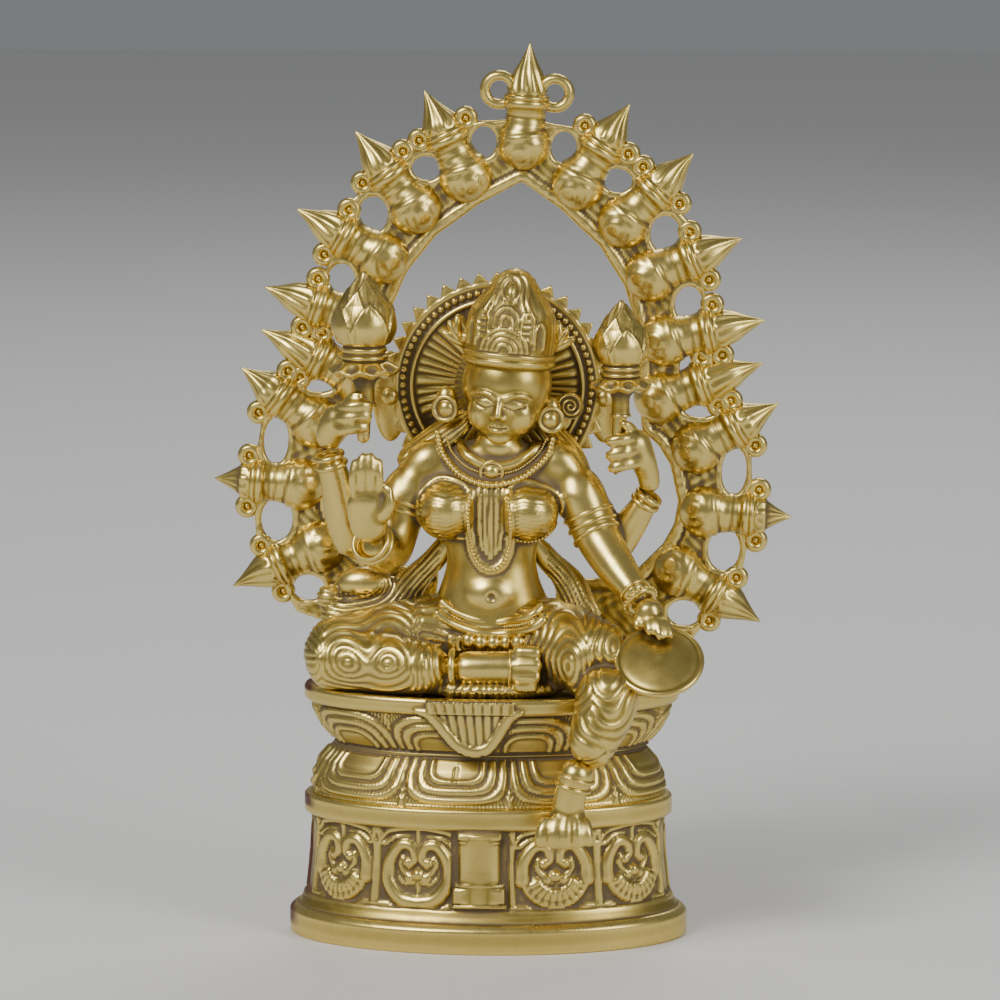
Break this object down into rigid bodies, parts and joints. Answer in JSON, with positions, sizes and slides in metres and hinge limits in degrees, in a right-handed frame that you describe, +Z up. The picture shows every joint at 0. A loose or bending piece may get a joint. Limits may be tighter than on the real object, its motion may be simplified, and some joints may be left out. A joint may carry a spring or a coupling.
{
  "type": "lakshmi statue",
  "caption": "Cast brass statue of a seated four armed goddess on a lotus pedestal, with a nimbus and an arch of flaming pots behind.",
  "frame": {"origin": "middle of the pedestal's flat underside", "axes": "+Z up, +X to the viewer's right, +Y away from the viewer, behind the figure"},
  "size_m": [0.2939, 0.1401, 0.4454],
  "materials": {
    "pedestal_brass": "cast brass, polished on high ground, brown grey patina in the hollows",
    "figure_brass": "cast and chased brass, brightest on face, breasts and limbs, dark in the lines",
    "arch_brass": "cast brass with pale raised pots and a duller grey brown ground",
    "halo_brass": "cast brass, dark between the ribs"
  },
  "bodies": {
    "root": {"pedestal": "pedestal_brass", "goddess": "figure_brass", "arch": "arch_brass", "halo": "halo_brass"}
  },
  "joints": []
}
